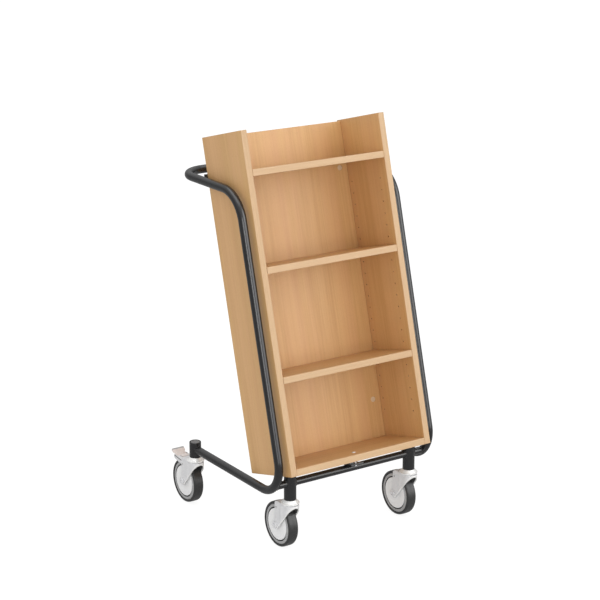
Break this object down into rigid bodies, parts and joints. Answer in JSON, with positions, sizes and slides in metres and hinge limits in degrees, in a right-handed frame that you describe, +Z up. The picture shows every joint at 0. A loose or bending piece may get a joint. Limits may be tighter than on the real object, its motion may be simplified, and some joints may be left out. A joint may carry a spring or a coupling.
{
  "type": "book trolley",
  "caption": "Leaning shelf case of beech-faced board on a bent black tube frame with a push handle, swivel casters and rear foot brakes.",
  "frame": {"origin": "floor level, under the middle of the overall box", "axes": "+Z up, -Y towards the open front of the shelves, +X to the right seen from the front"},
  "size_m": [0.54, 0.5632, 1.1055],
  "materials": {
    "beech": "beech-faced board with a clear satin lacquer",
    "black_coat": "black semi-gloss powder coat",
    "zinc": "zinc-plated steel",
    "bright_zinc": "bright zinc plating",
    "grey_plastic": "mid grey moulded plastic",
    "pale_plastic": "pale grey moulded plastic",
    "grey_rubber": "dark grey rubber",
    "pedal_plastic": "pale warm grey moulded plastic"
  },
  "bodies": {
    "trolley": {"left_side_panel": "beech", "right_side_panel": "beech", "back_panel": "beech", "top_shelf": "beech", "bottom_shelf": "beech", "frame_tube": "black_coat", "front_crossbar": "black_coat", "front_left_post": "black_coat", "front_right_post": "black_coat", "rear_left_post": "black_coat", "rear_right_post": "black_coat", "centre_bolt": "zinc", "left_lug_screw": "zinc", "right_lug_screw": "zinc", "upper_shelf_left_wire": "zinc", "upper_shelf_right_wire": "zinc", "lower_shelf_left_wire": "zinc", "lower_shelf_right_wire": "zinc", "front_left_stem": "zinc", "front_right_stem": "zinc", "rear_left_stem": "zinc", "rear_right_stem": "zinc", "upper_left_cam_lock": "bright_zinc", "upper_right_cam_lock": "bright_zinc", "lower_left_cam_lock": "bright_zinc", "lower_right_cam_lock": "bright_zinc", "front_left_cup": "bright_zinc", "front_right_cup": "bright_zinc", "rear_left_cup": "bright_zinc", "rear_right_cup": "bright_zinc"},
    "upper_shelf_board": {"upper_shelf": "beech"},
    "lower_shelf_board": {"lower_shelf": "beech"},
    "front_left_caster": {"front_left_fork": "zinc", "front_left_axle": "zinc"},
    "front_left_wheel": {"front_left_hub": "grey_plastic", "front_left_left_disc": "pale_plastic", "front_left_right_disc": "pale_plastic", "front_left_tyre": "grey_rubber"},
    "front_right_caster": {"front_right_fork": "zinc", "front_right_axle": "zinc"},
    "front_right_wheel": {"front_right_hub": "grey_plastic", "front_right_left_disc": "pale_plastic", "front_right_right_disc": "pale_plastic", "front_right_tyre": "grey_rubber"},
    "rear_left_caster": {"rear_left_fork": "zinc", "rear_left_axle": "zinc", "rear_left_brake_bracket": "zinc"},
    "rear_left_wheel": {"rear_left_hub": "grey_plastic", "rear_left_left_disc": "pale_plastic", "rear_left_right_disc": "pale_plastic", "rear_left_tyre": "grey_rubber"},
    "rear_left_pedal": {"rear_left_brake_pedal": "pedal_plastic"},
    "rear_right_caster": {"rear_right_fork": "zinc", "rear_right_axle": "zinc", "rear_right_brake_bracket": "zinc"},
    "rear_right_wheel": {"rear_right_hub": "grey_plastic", "rear_right_left_disc": "pale_plastic", "rear_right_right_disc": "pale_plastic", "rear_right_tyre": "grey_rubber"},
    "rear_right_pedal": {"rear_right_brake_pedal": "pedal_plastic"}
  },
  "joints": [
    {"name": "upper_shelf_slide", "type": "slide", "parent": "trolley", "child": "upper_shelf_board", "axis": [0, -0.9659, 0.2588], "range_m": [0, 0.12]},
    {"name": "lower_shelf_slide", "type": "slide", "parent": "trolley", "child": "lower_shelf_board", "axis": [0, -0.9659, 0.2588], "range_m": [0, 0.12]},
    {"name": "front_left_swivel", "type": "hinge", "parent": "trolley", "child": "front_left_caster", "pos_m": [-0.195, -0.22655, 0.13], "axis": [0, 0, 1], "continuous": true},
    {"name": "front_left_roll", "type": "hinge", "parent": "front_left_caster", "child": "front_left_wheel", "pos_m": [-0.195, -0.18355, 0.0625], "axis": [1, 0, 0], "continuous": true},
    {"name": "front_right_swivel", "type": "hinge", "parent": "trolley", "child": "front_right_caster", "pos_m": [0.195, -0.22655, 0.13], "axis": [0, 0, 1], "continuous": true},
    {"name": "front_right_roll", "type": "hinge", "parent": "front_right_caster", "child": "front_right_wheel", "pos_m": [0.195, -0.18355, 0.0625], "axis": [1, 0, 0], "continuous": true},
    {"name": "rear_left_swivel", "type": "hinge", "parent": "trolley", "child": "rear_left_caster", "pos_m": [-0.245, 0.17625, 0.13], "axis": [0, 0, 1], "continuous": true},
    {"name": "rear_left_roll", "type": "hinge", "parent": "rear_left_caster", "child": "rear_left_wheel", "pos_m": [-0.245, 0.21925, 0.0625], "axis": [1, 0, 0], "continuous": true},
    {"name": "rear_left_brake", "type": "hinge", "parent": "rear_left_caster", "child": "rear_left_pedal", "pos_m": [-0.245, 0.25225, 0.123], "axis": [-1, 0, 0], "range_deg": [0, 15]},
    {"name": "rear_right_swivel", "type": "hinge", "parent": "trolley", "child": "rear_right_caster", "pos_m": [0.245, 0.17625, 0.13], "axis": [0, 0, 1], "continuous": true},
    {"name": "rear_right_roll", "type": "hinge", "parent": "rear_right_caster", "child": "rear_right_wheel", "pos_m": [0.245, 0.21925, 0.0625], "axis": [1, 0, 0], "continuous": true},
    {"name": "rear_right_brake", "type": "hinge", "parent": "rear_right_caster", "child": "rear_right_pedal", "pos_m": [0.245, 0.25225, 0.123], "axis": [-1, 0, 0], "range_deg": [0, 15]}
  ]
}
